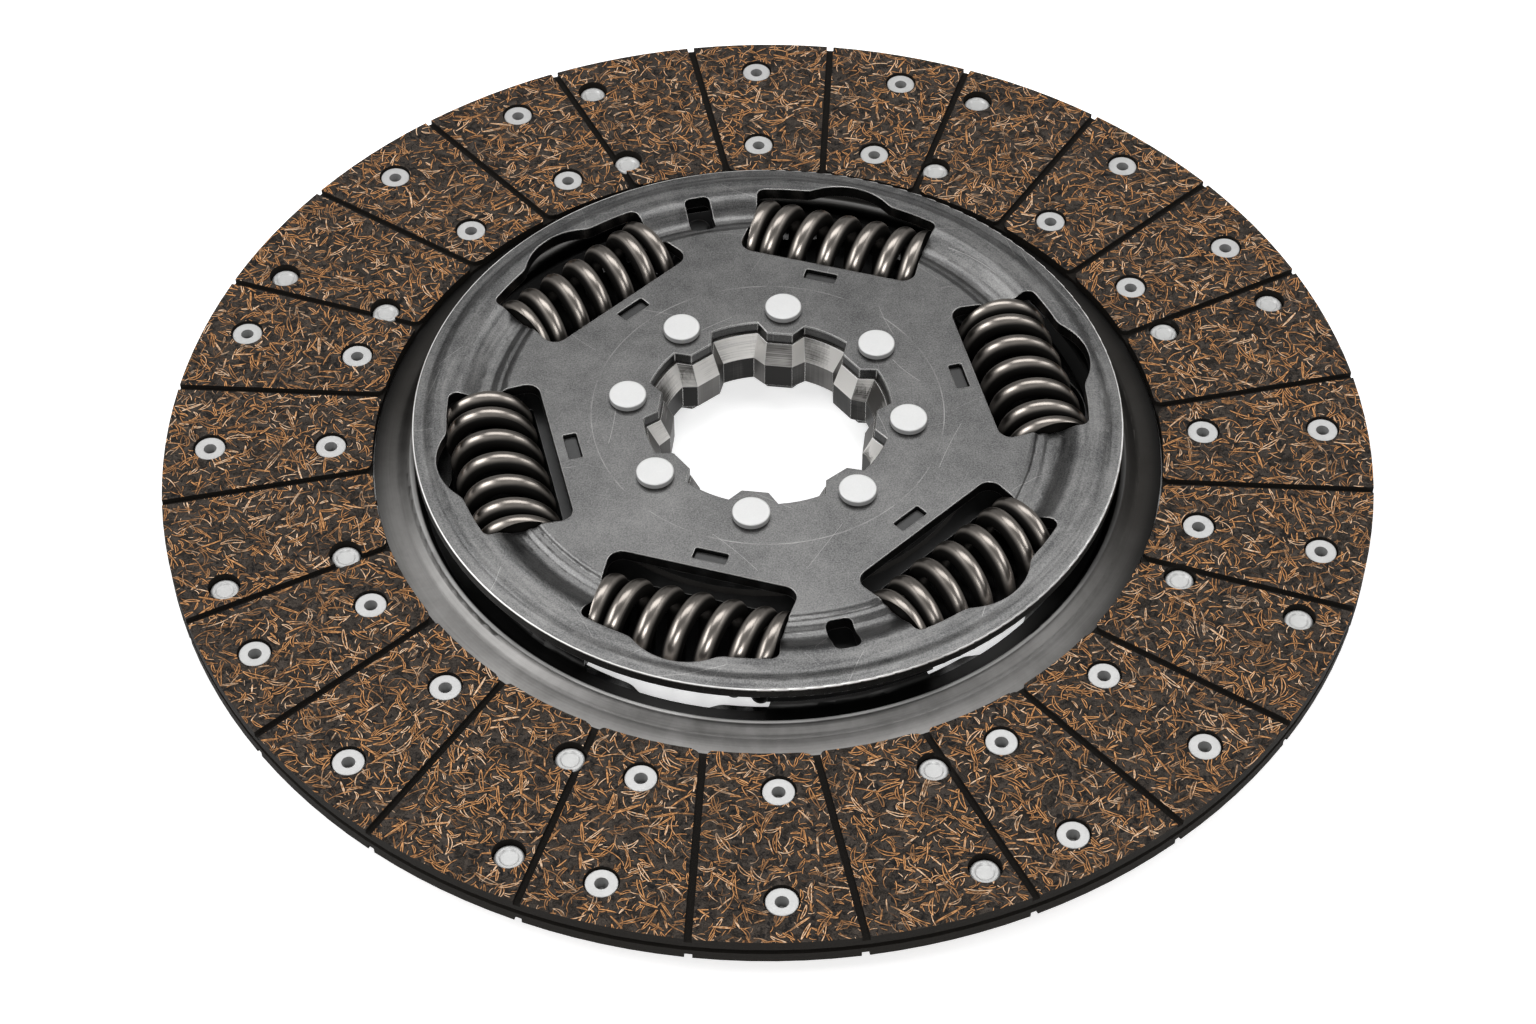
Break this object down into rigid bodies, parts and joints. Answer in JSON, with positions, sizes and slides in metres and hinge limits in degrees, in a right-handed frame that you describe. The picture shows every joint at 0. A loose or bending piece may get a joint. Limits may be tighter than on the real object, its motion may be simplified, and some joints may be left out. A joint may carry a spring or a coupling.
{
  "type": "clutch disc",
  "caption": "Clutch disc with grooved riveted friction facings, a cushioned carrier disc and a torsion damper whose coil springs sit in cover windows around a toothed hub ring",
  "frame": {"origin": "on the disc's axis, at the level of the lowest hub rivet heads", "axes": "+Z is the disc's axis and points to the side with the tapered lead-in in the hub, +X and +Y lie in the disc's plane"},
  "size_m": [0.43, 0.43, 0.0338],
  "materials": {
    "hub": "machined, satin",
    "hub_rivet": "fine satin",
    "cover": "pressed sheet, dark satin",
    "inner_ring": "plain sheet",
    "friction_ring": "moulded composite",
    "drive_plate": "plain sheet",
    "carrier": "pressed sheet, satin",
    "arm_rivet": "plain",
    "facing": "moulded composite with copper-coloured fibres",
    "facing_rivet": "bright",
    "segment": "spring steel",
    "spring": "dark oiled, glossy"
  },
  "bodies": {
    "damper_hub": {"hub_ring": "hub", "hub_rivets": "hub_rivet", "front_cover": "cover", "rear_cover": "cover", "front_pressure_ring": "inner_ring", "rear_pressure_ring": "inner_ring", "front_friction_ring": "friction_ring", "rear_friction_ring": "friction_ring"},
    "spring_set": {"damper_spring_1": "spring", "damper_spring_2": "spring", "damper_spring_3": "spring", "damper_spring_4": "spring", "damper_spring_5": "spring", "damper_spring_6": "spring"},
    "friction_disc": {"drive_plate": "drive_plate", "carrier_disc": "carrier", "arm_rivets": "arm_rivet", "front_facing": "facing", "rear_facing": "facing", "front_facing_rivets": "facing_rivet", "rear_facing_rivets": "facing_rivet", "cushion_segment_1": "segment", "cushion_segment_2": "segment", "cushion_segment_3": "segment", "cushion_segment_4": "segment", "cushion_segment_5": "segment", "cushion_segment_6": "segment", "cushion_segment_7": "segment", "cushion_segment_8": "segment"}
  },
  "joints": [
    {"name": "damper_turn", "type": "hinge", "parent": "damper_hub", "child": "friction_disc", "pos_m": [0, 0, 0.0169], "axis": [0, 0, 1], "range_deg": [-8, 8], "stiffness_Nm_per_rad": 2000, "deforming": ["damper_spring_1", "damper_spring_2", "damper_spring_3", "damper_spring_4", "damper_spring_5", "damper_spring_6"]},
    {"name": "spring_shift", "type": "hinge", "parent": "damper_hub", "child": "spring_set", "pos_m": [0, 0, 0.0169], "axis": [0, 0, 1], "range_deg": [-4, 4]}
  ],
  "couplings": [
    {"joint": "spring_shift", "follows": "damper_turn", "ratio": 0.5}
  ]
}
